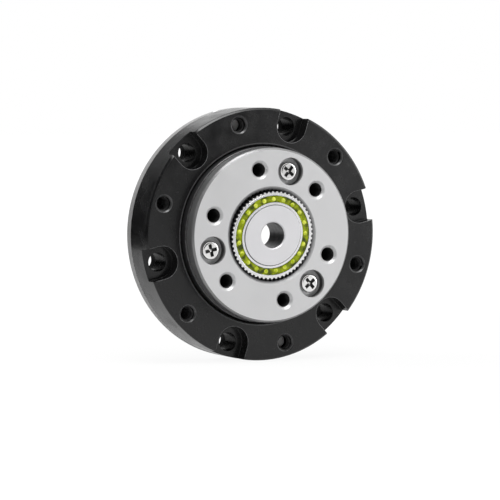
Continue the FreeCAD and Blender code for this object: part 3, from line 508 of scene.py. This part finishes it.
def make_finishes(colours):
    """Make every finish. A depth is the height of the marks in the surface."""
    def colour(name):
        return tuple(getattr(colours, name))

    def turned(name, **settings):
        FINISHES[name] = turned_metal(name, colour(name), **settings)

    def polished(name, title=None, base=None, **settings):
        FINISHES[name] = plain_polish(title or name, base or colour(name), **settings)

    # The fine lighter line round the bore edge is both edge wear and a painted edge highlight.
    turned("black_oxide", metallic=0.0, rough=(0.16, 0.32), rings=900.0, depth=0.00001, shade=0.6,
           specular=0.45, fleck=(0.02, 0.02, 0.02, 1.0),
           line=(colour("worn_black"), BORE_EDGE + RING_EDGE_WIDTH, RING_EDGE_WIDTH))
    turned("dark_steel", metallic=0.3, rough=(0.3, 0.42), rings=1200.0, depth=0.00001)
    turned("satin_steel", metallic=0.35, rough=(0.36, 0.46), rings=1400.0, depth=0.00001, shade=0.95)
    turned("flexspline_steel", metallic=0.6, rough=(0.3, 0.4), rings=1600.0, depth=0.000006, shade=0.95)
    turned("plug_metal", metallic=0.4, rough=(0.34, 0.44), rings=1300.0, depth=0.000008, shade=0.96)
    polished("bearing_steel", metallic=1.0, rough=(0.14, 0.22), grain=4000.0, depth=0.000002)
    polished("nickel", "nickel_plating", metallic=1.0, rough=(0.12, 0.24), grain=3000.0, depth=0.000004)
    # Painted shade for recesses, hole walls, sockets and threads.
    polished("dark_recess", "oiled_recess", metallic=0.0, rough=(0.25, 0.4), grain=3000.0, depth=0.000004,
             specular=0.3)
    # Painted shade: half the black oxide's colour with almost no sheen, for the walls of the housing's tapped
    # holes and of the brim's holes.
    polished("deep_bore", base=shaded(colour("black_oxide"), 0.5), metallic=0.0, rough=(0.5, 0.7),
             grain=3000.0, depth=0.000004, specular=0.05)
    # Lighter colours on broken edges and ridges: edge wear and painted highlight.
    for name in ("worn_black", "bare_edge"):
        polished(name, metallic=0.3, rough=(0.2, 0.4), grain=1500.0, depth=0.000008, shade=0.5)
    polished("zinc", metallic=0.1, rough=(0.4, 0.5), grain=3000.0, depth=0.000004)
    # Painted shade for the flange's outer wall.
    turned("wall_steel", metallic=0.5, rough=(0.3, 0.42), rings=1600.0, depth=0.000006, shade=0.7)
    polished("black_bore", base=colour("black_oxide"), metallic=0.0, rough=(0.22, 0.34), grain=3000.0,
             depth=0.000006, specular=0.06)
    # Painted shade for the outer edge of the brim.
    turned("brim_steel", metallic=0.2, rough=(0.35, 0.5), rings=1600.0, depth=0.000006, specular=0.3)
    # Painted shade for the teeth and the sunk faces round them.
    turned("cut_steel", metallic=0.5, rough=(0.3, 0.42), rings=1600.0, depth=0.000006, shade=0.8)
    # Painted shade: the chamfer is darker than the face and darkens further into the teeth's painted shade
    # deeper down.
    turned("chamfer_steel", metallic=0.35, rough=(0.34, 0.46), rings=1600.0, depth=0.000004,
           deep=(colour("cut_steel"), OUTPUT_FACE, HUB_FRONT))
    # Painted shade: the counterbores darken towards their floors.
    turned("counterbore_steel", metallic=0.35, rough=(0.3, 0.42), rings=1600.0, depth=0.000006, shade=0.85,
           deep=(colour("dark_recess"), SHADE_FRONT, SHADE_REAR))
    # Painted shade for the plug's shaft bore.
    polished("bore_steel", metallic=0.5, rough=(0.32, 0.5), grain=2600.0, depth=0.00001, shade=0.5)
    polished("spacer_plastic", "spacer_nylon", metallic=0.0, rough=(0.4, 0.5), grain=2000.0, depth=0.000006)
    polished("rubber", "seal_rubber", metallic=0.0, rough=(0.5, 0.65), grain=3500.0, depth=0.00001)
    # The cage's darker cloudy patches are painted shade.
    FINISHES["cage_plastic"] = cloudy_plastic(
        "cage_plastic", colour("cage_plastic"), colour("cage_shade"), scale=650.0, transmission=0.25)
    # Painted highlight for the ends of the cage's posts.
    FINISHES["cage_dome"] = cloudy_plastic(
        "cage_dome", colour("cage_dome"), colour("cage_plastic"), scale=900.0, transmission=0.0)


class GEAR_OT_finish_packed_pieces(bpy.types.Operator):
    """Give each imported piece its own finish"""

    bl_idname = "gear.finish_packed_pieces"
    bl_label = "Finish packed pieces"

    def execute(self, context):
        make_finishes(context.scene.gear_finishes)
        for name, finish in (
                ("wave_balls", "bearing_steel"), ("cross_rollers", "bearing_steel"),
                ("loading_plug", "black_oxide"), ("plug_pin", "nickel"), ("front_seal", "rubber"),
                ("rear_seal", "rubber"), ("roller_spacers", "spacer_plastic")):
            wear(name, FINISHES[finish])
        return {"FINISHED"}


class GEAR_OT_housing(bpy.types.Operator):
    """Break the edges of the black housing ring and of the countersunk screws behind it"""

    bl_idname = "gear.housing"
    bl_label = "Housing ring"

    def execute(self, context):
        ring = soften("housing_ring", "black_housing_ring", "housing", FINISHES["black_oxide"],
                      RING_EDGE_WIDTH, clamp=False)
        # Wear and painted highlight on the broken edges of the housing's front.
        paint(ring, "worn_black", lambda centre, out, height, flat: (
            EDGE_START < flat < EDGE_END and height > RECESS_WALLS and out < INSIDE_RIM))
        # Wear and painted highlight on the front edges, away from the tapped holes.
        paint(ring, "bare_edge", lambda centre, out, height, flat: (
            EDGE_START < flat < EDGE_END and height > FRONT_EDGES and out < INSIDE_RIM
            and not beside_holes(centre, BOLT_CIRCLE, TAPPED_ANGLES, TAPPED_MOUTH_REACH)))
        paint(ring, "black_bore", lambda centre, out, height, flat: (
            flat < WALL and height < RECESS_FLOORS and THROUGH_HOLES_START < out < THROUGH_HOLES_END))
        # Painted shade on the walls of the housing's tapped holes.
        paint(ring, "deep_bore", lambda centre, out, height, flat: (
            flat < WALL and height < TAPPED_WALLS
            and beside_holes(centre, BOLT_CIRCLE, TAPPED_ANGLES, TAPPED_REACH)))
        for number, hole in enumerate(BRIM_SCREW_HOLES, 1):
            screw = soften("brim_screw_%d" % number, "countersunk_screw_%d" % number, "housing",
                           FINISHES["nickel"], width=0.00006)
            paint(screw, "zinc", lambda centre, out, height, flat: height > SCREW_END)
            axis = place(BOLT_CIRCLE, TAPPED_ANGLES[hole], 0)
            # Painted shade in the hex socket of each countersunk screw.
            paint(screw, "dark_recess", lambda centre, out, height, flat: (
                SOCKET_REAR < height < SOCKET_FRONT
                and math.hypot(centre.x - axis.x, centre.z - axis.z) < SOCKET_REACH))
        return {"FINISHED"}


class GEAR_OT_output_flange(bpy.types.Operator):
    """Break the edges of the circular spline and of the bearing inner ring"""

    bl_idname = "gear.output_flange"
    bl_label = "Output flange"

    def execute(self, context):
        flange = soften("circular_spline", "toothed_output_flange", "output",
                        FINISHES["satin_steel"], width=0.00004)
        # Painted shade on the tooth zone and on the faces sunk below the output face, outside the screw
        # recesses.
        paint(flange, "cut_steel", lambda centre, out, height, flat: (
            out < TOOTH_CHAMFER_END and flat < EDGE_END or height < HUB_FRONT
            and not beside_holes(centre, OUTPUT_HOLE_CIRCLE, SCREW_ANGLES, SCREW_RECESS_REACH)))
        # Painted shade on the flange's outer wall.
        paint(flange, "wall_steel", lambda centre, out, height, flat: out > FLANGE_WALL and flat < EDGE_END)
        # Counterbore walls, whose colour passes into painted shade deeper down.
        paint(flange, "counterbore_steel", lambda centre, out, height, flat: (
            flat < RECESS_EDGE_END
            and beside_holes(centre, OUTPUT_HOLE_CIRCLE, SCREW_ANGLES, SCREW_RECESS_REACH)))
        # Painted shade on the chamfer round the teeth.
        paint(flange, "chamfer_steel", lambda centre, out, height, flat: (
            TOOTH_CHAMFER_START < out < TOOTH_CHAMFER_END and CHAMFER_START < flat < EDGE_END
            and height > TOOTH_CHAMFER_REAR))
        # Painted shade on the walls of the output's tapped holes.
        paint(flange, "dark_recess", lambda centre, out, height, flat: (
            flat < WALL and height < OUTPUT_TAPPED_WALLS
            and beside_holes(centre, OUTPUT_HOLE_CIRCLE, OUTPUT_TAPPED_ANGLES, TAPPED_REACH)))
        ring = soften("bearing_inner_ring", "dark_bearing_ring", "output",
                      FINISHES["dark_steel"], width=0.0001)
        # Wear and painted highlight on the inner ring's front edge.
        paint(ring, "worn_black", lambda centre, out, height, flat: (
            EDGE_START < flat < EDGE_END and height > INNER_RING_FRONT and out > INNER_RING_EDGE))
        return {"FINISHED"}


class GEAR_OT_flexspline(bpy.types.Operator):
    """Model the flexspline: its brim stays with the housing, and its oval cup follows the wave generator"""

    bl_idname = "gear.flexspline"
    bl_label = "Flexspline"

    def cut_to(self, piece, operation, start):
        """Keep the part of the flexspline on one side of a height at which its wall is still round."""
        deselect()
        bpy.ops.mesh.primitive_cube_add(size=1.0, location=(0, 0, 0))
        cutter = fresh("cup_cutter")
        settle(cutter, Matrix.Translation((0, -start - CUTTER_REACH / 2, 0)) @ Matrix.Diagonal(
            (1.5 * CUTTER_REACH, CUTTER_REACH, 1.5 * CUTTER_REACH, 1)))
        cut_away(piece, cutter, operation)
        remove(cutter)
        merge_corners(piece)
        bpy.ops.object.mode_set(mode="OBJECT")
        even_shading(piece, degrees=22)
        dress(piece, FINISHES["flexspline_steel"])

    def execute(self, context):
        brim = merged_copy("flexspline", "flexspline_steel_brim")
        cup = copy_piece(brim, "flexspline_steel_cup")
        self.cut_to(brim, "DIFFERENCE", CUP_START)
        # Painted shade on the walls of the brim's holes.
        paint(brim, "deep_bore", lambda centre, out, height, flat: (
            flat < WALL and height < BRIM_THICKNESS and BRIM_HOLES_START < out < BRIM_RIM))
        # Painted shade on the outer edge of the brim.
        paint(brim, "brim_steel", lambda centre, out, height, flat: out > BRIM_RIM)
        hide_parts("flexspline")
        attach(brim, "housing")
        self.cut_to(cup, "INTERSECT", CUP_START + CUP_GAP)
        # Painted shade on the flanks of the cup's teeth, between the teeth's front ends.
        paint(cup, "cut_steel", lambda centre, out, height, flat: (
            flat < WALL and height > TEETH_START
            and out > TOOTH_FOOT + WAVE * math.cos(2 * (math.atan2(centre.z, centre.x) - WAVE_TURN))))
        # Painted highlight: the flat front ends of the cup's teeth in bright bearing steel.
        paint(cup, "bearing_steel", lambda centre, out, height, flat: (
            height > CUP_FRONT and flat > FLAT_FRONT))
        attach(cup, "wave_generator")
        return {"FINISHED"}


class GEAR_OT_wave_generator(bpy.types.Operator):
    """Model the wave generator plug, its thin races, smooth balls and the ball cage"""

    bl_idname = "gear.wave_generator"
    bl_label = "Wave generator"

    def oval_seat(self, path, number, count, height):
        """Place on an oval path, for a ball or for the end of a cage post between two balls, whose bright
        colour is a painted glint.
        """
        angle = 2 * math.pi * number / count
        longer = path + WAVE
        shorter = path - WAVE
        radius = longer * shorter / math.hypot(shorter * math.cos(angle), longer * math.sin(angle))
        return seat(radius, angle + WAVE_TURN, height)

    def add_domes(self, cage, sizes):
        """Join the round ends of the posts between the balls to the cage, in a bright colour that is a
        painted glint of the balls behind.
        """
        domes = []
        for number in range(sizes.count):
            deselect()
            bpy.ops.mesh.primitive_uv_sphere_add(segments=24, ring_count=12, radius=1.0)
            dome = fresh("cage_dome")
            for vertex in dome.data.vertices:
                flare = 1.0 + DOME_FLARE * vertex.co.z
                vertex.co = (vertex.co.x * DOME_LENGTH * flare, vertex.co.y * DOME_WIDTH * flare,
                             vertex.co.z * DOME_HEIGHT)
            smooth(dome, degrees=60)
            # The dome's bright colour is a painted glint.
            dress(dome, FINISHES["cage_dome"])
            settle(dome, self.oval_seat(sizes.dome_path, number, sizes.count, sizes.dome_plane))
            domes.append(dome)
        join(cage, *domes)

    def execute(self, context):
        sizes = context.scene.gear_balls
        plug = soften("wave_generator_plug", "oval_plug", "wave_generator",
                      FINISHES["plug_metal"], width=0.00005)
        # Painted shade on the wall of the shaft bore.
        paint(plug, "bore_steel", lambda centre, out, height, flat: out < SHAFT_BORE_REACH and flat < WALL)
        # Painted shade: a dark band on the plug's outer edge, where the gap to the inner race lies in shade.
        paint(plug, "dark_recess", lambda centre, out, height, flat: (
            out > PLUG_EDGE and flat < FLAT_FRONT and height > PLUG_EDGE_REAR))
        for side in ("inner", "outer"):
            soften("wave_%s_race" % side, "thin_%s_race" % side, "wave_generator",
                   FINISHES["bearing_steel"], width=0.00005)
        cage = soften("wave_cage", "yellow_green_cage", "wave_generator",
                      FINISHES["cage_plastic"], width=0.00008)
        self.add_domes(cage, sizes)
        deselect()
        bpy.ops.mesh.primitive_ico_sphere_add(subdivisions=3, radius=sizes.radius)
        ball = fresh("bearing_ball")
        smooth(ball, degrees=60)
        dress(ball, FINISHES["bearing_steel"])
        for number in range(sizes.count):
            piece = copy_piece(ball, "bearing_ball_%02d" % (number + 1))
            settle(piece, self.oval_seat(sizes.path, number + 0.5, sizes.count, sizes.plane))
            if number == 0:
                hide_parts("wave_balls")
            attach(piece, "wave_generator")
        remove(ball)
        return {"FINISHED"}


class GEAR_OT_output_screws(bpy.types.Operator):
    """Model one cross-recessed pan head screw and set it in its three recesses"""

    bl_idname = "gear.output_screws"
    bl_label = "Output screws"

    def pan_head(self, sizes):
        """A pan head on the Z axis with a rounded top."""
        top = sizes.head_height
        deselect()
        bpy.ops.mesh.primitive_cylinder_add(
            vertices=64, radius=sizes.head_radius, depth=top, location=(0, 0, top / 2))
        head = fresh("screw_head")
        dress(head, FINISHES["nickel"])
        for part in (head.data.vertices, head.data.edges, head.data.polygons):
            for element in part:
                element.select = False
        for edge in head.data.edges:
            edge.select = min(head.data.vertices[corner].co.z for corner in edge.vertices) > 0.99 * top
        bpy.ops.object.mode_set(mode="EDIT")
        bpy.ops.mesh.select_mode(type="EDGE")
        bpy.ops.mesh.bevel(offset=0.42 * top, segments=6, profile=0.62)
        bpy.ops.object.mode_set(mode="OBJECT")
        return head

    def cut_cross(self, head, sizes):
        """Cut the cross recess, whose arms taper as they go down and carry painted shade, with a bright
        funnel in its floor.
        """
        recess_floor = sizes.head_height - sizes.cross_depth
        above_head = sizes.head_height + 0.0002
        cutters = []
        for quarter in (0, 90):
            deselect()
            bpy.ops.mesh.primitive_cube_add(size=1.0, location=(0, 0, 0))
            arm = fresh("recess_arm_%d" % quarter)
            for vertex in arm.data.vertices:
                if vertex.co.z < 0:
                    longer, wider, height = 0.85, 0.95, recess_floor
                else:
                    longer, wider, height = 1.0, 1.15, above_head
                vertex.co.x *= sizes.cross_length * longer
                vertex.co.y *= sizes.cross_width * wider
                vertex.co.z = height
            settle(arm, Matrix.Rotation(math.radians(quarter), 4, "Z"))
            cutters.append(arm)
        deselect()
        bpy.ops.mesh.primitive_cone_add(
            vertices=24, radius1=sizes.funnel_radius * 0.3, radius2=sizes.funnel_radius, depth=0.0003,
            location=(0, 0, recess_floor - 0.0001))
        cutters.append(fresh("recess_funnel"))
        # The arms of the cross recess carry painted shade; the funnel keeps the bright nickel.
        for cutter, finish in zip(cutters, ("dark_recess", "dark_recess", "nickel")):
            dress(cutter, FINISHES[finish])
            cut_away(head, cutter, material_mode="TRANSFER")
        remove(*cutters)
        apply_modifier(head, "BEVEL", width=0.00005, segments=2, limit_method="ANGLE",
                       angle_limit=math.radians(35))

    def execute(self, context):
        sizes = context.scene.gear_screws
        screw = self.pan_head(sizes)
        self.cut_cross(screw, sizes)
        deselect()
        bpy.ops.mesh.primitive_cylinder_add(
            vertices=32, radius=sizes.shank_radius, depth=sizes.shank_length,
            location=(0, 0, 0.00005 - sizes.shank_length / 2))
        shank = fresh("screw_shank")
        apply_modifier(shank, "BEVEL", width=0.0002, segments=1)
        dress(shank, FINISHES["nickel"])
        join(screw, shank)
        even_shading(screw, degrees=30)
        for number, turn in enumerate((68, 1, 88)):
            piece = copy_piece(screw, "cross_recess_screw_%d" % (number + 1))
            settle(piece, seat(OUTPUT_HOLE_CIRCLE, SCREW_ANGLES[number], sizes.seat)
                   @ Matrix.Rotation(math.radians(turn), 4, "Z"))
            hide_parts("output_screw_%d" % (number + 1))
            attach(piece, "output")
        remove(screw)
        return {"FINISHED"}


class GEAR_OT_threads(bpy.types.Operator):
    """Model the thread of every tapped hole, as a fine spiral ridge on its wall"""

    bl_idname = "gear.threads"
    bl_label = "Threads"

    def spiral(self, name, sizes, core, turns, finish):
        """A ridge of three sides that winds down the Z axis, with its foot sunk into the wall."""
        deselect()
        bpy.ops.mesh.primitive_circle_add(vertices=3, radius=sizes.pitch * 0.5, fill_type="NOTHING")
        ridge = fresh(name)
        foot = core + 0.00004
        half_width = 0.46 * sizes.pitch
        corners = ((foot, -half_width), (core - sizes.ridge, 0.0), (foot, half_width))
        for vertex, (out, up) in zip(ridge.data.vertices, corners):
            vertex.co = (out, 0, up)
        apply_modifier(ridge, "SCREW", axis="Z", angle=2 * math.pi, screw_offset=-sizes.pitch,
                       iterations=turns, steps=28, render_steps=28, use_normal_calculate=True)
        activate(ridge)
        bpy.ops.object.mode_set(mode="EDIT")
        bpy.ops.mesh.select_all(action="SELECT")
        bpy.ops.mesh.fill_holes(sides=3)
        bpy.ops.mesh.select_all(action="SELECT")
        bpy.ops.mesh.normals_make_consistent(inside=False)
        bpy.ops.object.mode_set(mode="OBJECT")
        smooth(ridge, degrees=40)
        dress(ridge, FINISHES[finish])
        return ridge

    def execute(self, context):
        sizes = context.scene.gear_threads
        core = sizes.housing_core
        # The housing's thread ridges are lighter: wear and painted highlight.
        ridge = self.spiral("housing_thread", sizes, core, turns=9, finish="worn_black")
        short_ridge = self.spiral("short_housing_thread", sizes, core, turns=3, finish="worn_black")
        for number, angle in enumerate(TAPPED_ANGLES):
            piece = copy_piece(short_ridge if number in BRIM_SCREW_HOLES else ridge,
                               "housing_thread_%d" % (number + 1))
            settle(piece, seat(BOLT_CIRCLE, angle, HOUSING_FRONT - HOUSING_THREAD_START))
            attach(piece, "housing")
        remove(ridge, short_ridge)
        # The output's thread ridges carry painted shade.
        ridge = self.spiral("output_thread", sizes, sizes.output_core, turns=10, finish="dark_recess")
        for number, angle in enumerate(OUTPUT_TAPPED_ANGLES):
            piece = copy_piece(ridge, "output_thread_%d" % (number + 1))
            settle(piece, seat(OUTPUT_HOLE_CIRCLE, angle, OUTPUT_FACE - OUTPUT_THREAD_START))
            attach(piece, "output")
        remove(ridge)
        return {"FINISHED"}


def aim(thing, direction):
    """Turn a lamp or the camera so that it looks in a direction."""
    thing.rotation_euler = direction.to_track_quat("-Z", "Y").to_euler()


def put_on_stage(name, data, where=(0, 0, 0)):
    thing = bpy.data.objects.new(name, data)
    bpy.context.scene.collection.objects.link(thing)
    thing.location = where
    return thing


class GEAR_OT_stage(bpy.types.Operator):
    """Set up the floor, the soft light and the camera"""

    bl_idname = "gear.stage"
    bl_label = "Stage and camera"

    def add_floor(self, settings):
        """A pale floor that keeps the object's shadow near it and passes into the white background."""
        deselect()
        bpy.ops.mesh.primitive_plane_add(size=8.0, location=(0, 0, settings.floor_height))
        floor = fresh("floor")
        material, tree, principled = shader("floor_paint")
        principled.inputs["Base Color"].default_value = tuple(settings.floor_colour)
        principled.inputs["Roughness"].default_value = 0.7
        principled.inputs["Specular IOR Level"].default_value = 0.1
        rays = node(tree, "ShaderNodeLightPath")
        glow = node(tree, "ShaderNodeEmission", Strength=1.08)
        share = node(tree, "ShaderNodeMath", {"operation": "MULTIPLY"})
        coordinates = node(tree, "ShaderNodeTexCoord")
        reach = node(tree, "ShaderNodeVectorMath", {"operation": "LENGTH"})
        tree.links.new(coordinates.outputs["Object"], reach.inputs[0])
        faded = spread(tree, reach.outputs["Value"], low=0.85, start=0.06, stop=0.3)
        tree.links.new(faded, share.inputs[1])
        tree.links.new(rays.outputs["Is Camera Ray"], share.inputs[0])
        mirrored = node(tree, "ShaderNodeMath", {"operation": "MULTIPLY_ADD"})
        mirrored.inputs[1].default_value = 0.55
        tree.links.new(rays.outputs["Is Glossy Ray"], mirrored.inputs[0])
        tree.links.new(share.outputs[0], mirrored.inputs[2])
        mix = node(tree, "ShaderNodeMixShader")
        tree.links.new(mirrored.outputs[0], mix.inputs["Fac"])
        tree.links.new(principled.outputs[0], mix.inputs[1])
        tree.links.new(glow.outputs[0], mix.inputs[2])
        tree.links.new(mix.outputs[0], tree.nodes["Material Output"].inputs["Surface"])
        dress(floor, material)

    def add_card(self, name, shade, middle, across, up):
        """A grey card out of the picture that the metal mirrors."""
        material, tree, principled = shader(name)
        principled.inputs["Base Color"].default_value = (shade, shade, shade, 1.0)
        principled.inputs["Roughness"].default_value = 0.9
        deselect()
        bpy.ops.mesh.primitive_plane_add(size=1.0, location=(0, 0, 0))
        card = fresh(name)
        for vertex in card.data.vertices:
            vertex.co = Vector(middle) + Vector(across) * vertex.co.x + Vector(up) * vertex.co.y
        dress(card, material)
        card.visible_camera = False
        card.visible_shadow = False

    def add_softbox(self, name, energy, size, where):
        """A square lamp that faces the object."""
        data = bpy.data.lights.new(name, "AREA")
        data.energy = energy
        data.size = size
        aim(put_on_stage(name, data, where), -Vector(where))

    def light_room(self):
        """Soft light from all round, with a white background where it is seen or mirrored."""
        sun = bpy.data.lights.new("room_light", "SUN")
        sun.energy = 1.0
        sun.angle = math.radians(70)
        aim(put_on_stage("room_light", sun), Vector((0.1, 0.35, -1.0)))
        world = bpy.data.worlds.new("studio")
        bpy.context.scene.world = world
        world.use_nodes = True
        tree = world.node_tree
        background = tree.nodes["Background"]
        background.inputs["Color"].default_value = (1.0, 1.0, 1.0, 1.0)
        rays = node(tree, "ShaderNodeLightPath")
        total = rays.outputs["Is Camera Ray"]
        for kind in ("Is Glossy Ray", "Is Transmission Ray"):
            either = node(tree, "ShaderNodeMath", {"operation": "MAXIMUM"})
            tree.links.new(total, either.inputs[0])
            tree.links.new(rays.outputs[kind], either.inputs[1])
            total = either.outputs[0]
        strength = node(tree, "ShaderNodeMapRange", To_Min=0.3, To_Max=1.0)
        tree.links.new(total, strength.inputs["Value"])
        tree.links.new(strength.outputs["Result"], background.inputs["Strength"])

    def add_camera(self, settings):
        """A long lens, shifted a few pixels of the picture's 500."""
        turn = settings.azimuth
        lift = settings.elevation
        towards = Vector((math.sin(turn) * math.cos(lift), -math.cos(turn) * math.cos(lift), math.sin(lift)))
        data = bpy.data.cameras.new("camera")
        data.lens = settings.focal_length
        data.sensor_width = 36.0
        data.shift_x = -12.61 / 500
        data.shift_y = -15.67 / 500
        data.clip_start = 0.01
        camera = put_on_stage("camera", data, place(0, 0, HOUSING_FRONT) + towards * settings.distance)
        aim(camera, -towards)
        bpy.context.scene.camera = camera

    def execute(self, context):
        settings = context.scene.gear_stage
        self.add_floor(settings)
        self.add_card("left_card", 0.01, middle=(-0.3, 0.4, 0.285), across=(0, 1.36, 0), up=(0, 0, 0.63))
        self.add_card("back_card", 0.6, middle=(-0.06, 1.1, 0.325), across=(0.48, 0, 0), up=(0, 0, 0.71))
        self.add_card("floor_card", 0.01, middle=(-0.45, 0.79, -0.0295), across=(0.9, 0, 0), up=(0, 1.24, 0))
        self.add_card("front_card", 0.01, middle=(0.05, -0.5, 0.2), across=(0.4, 0, 0), up=(0, 0, 0.4))
        self.add_softbox("top_softbox", energy=2.2, size=0.35, where=(-0.05, -0.2, 0.6))
        self.add_softbox("right_softbox", energy=1.0, size=0.3, where=(0.5, -0.42, 0.06))
        self.add_softbox("rear_softbox", energy=2.0, size=0.2, where=(-0.5, 0.3, 0.35))
        self.light_room()
        context.scene.view_settings.view_transform = "Standard"
        self.add_camera(settings)
        return {"FINISHED"}


class GEAR_PT_panel(bpy.types.Panel):
    """Lists the gear unit's operators and settings"""

    bl_idname = "GEAR_PT_panel"
    bl_label = "Strain Wave Gear"
    bl_space_type = "VIEW_3D"
    bl_region_type = "UI"
    bl_category = "Strain Wave Gear"

    def draw(self, context):
        column = self.layout.column()
        for operator in OPERATORS:
            column.operator(operator.bl_idname)
        for name, group in GROUPS:
            for size in group.__annotations__:
                column.prop(getattr(context.scene, name), size)


OPERATORS = (
    GEAR_OT_finish_packed_pieces,
    GEAR_OT_housing,
    GEAR_OT_output_flange,
    GEAR_OT_flexspline,
    GEAR_OT_wave_generator,
    GEAR_OT_output_screws,
    GEAR_OT_threads,
    GEAR_OT_stage,
)
GROUPS = (
    ("gear_finishes", FinishSettings),
    ("gear_screws", ScrewSettings),
    ("gear_threads", ThreadSettings),
    ("gear_balls", BallSettings),
    ("gear_stage", StageSettings),
)


def register():
    for name, group in GROUPS:
        bpy.utils.register_class(group)
        setattr(bpy.types.Scene, name, bpy.props.PointerProperty(type=group))
    for operator in OPERATORS:
        bpy.utils.register_class(operator)
    bpy.utils.register_class(GEAR_PT_panel)


def unregister():
    bpy.utils.unregister_class(GEAR_PT_panel)
    for operator in reversed(OPERATORS):
        bpy.utils.unregister_class(operator)
    for name, group in reversed(GROUPS):
        delattr(bpy.types.Scene, name)
        bpy.utils.unregister_class(group)


def main():
    register()
    bpy.ops.gear.finish_packed_pieces()
    bpy.ops.gear.housing()
    bpy.ops.gear.output_flange()
    bpy.ops.gear.flexspline()
    bpy.ops.gear.wave_generator()
    bpy.ops.gear.output_screws()
    bpy.ops.gear.threads()
    bpy.ops.gear.stage()


if __name__ == "__main__":
    main()
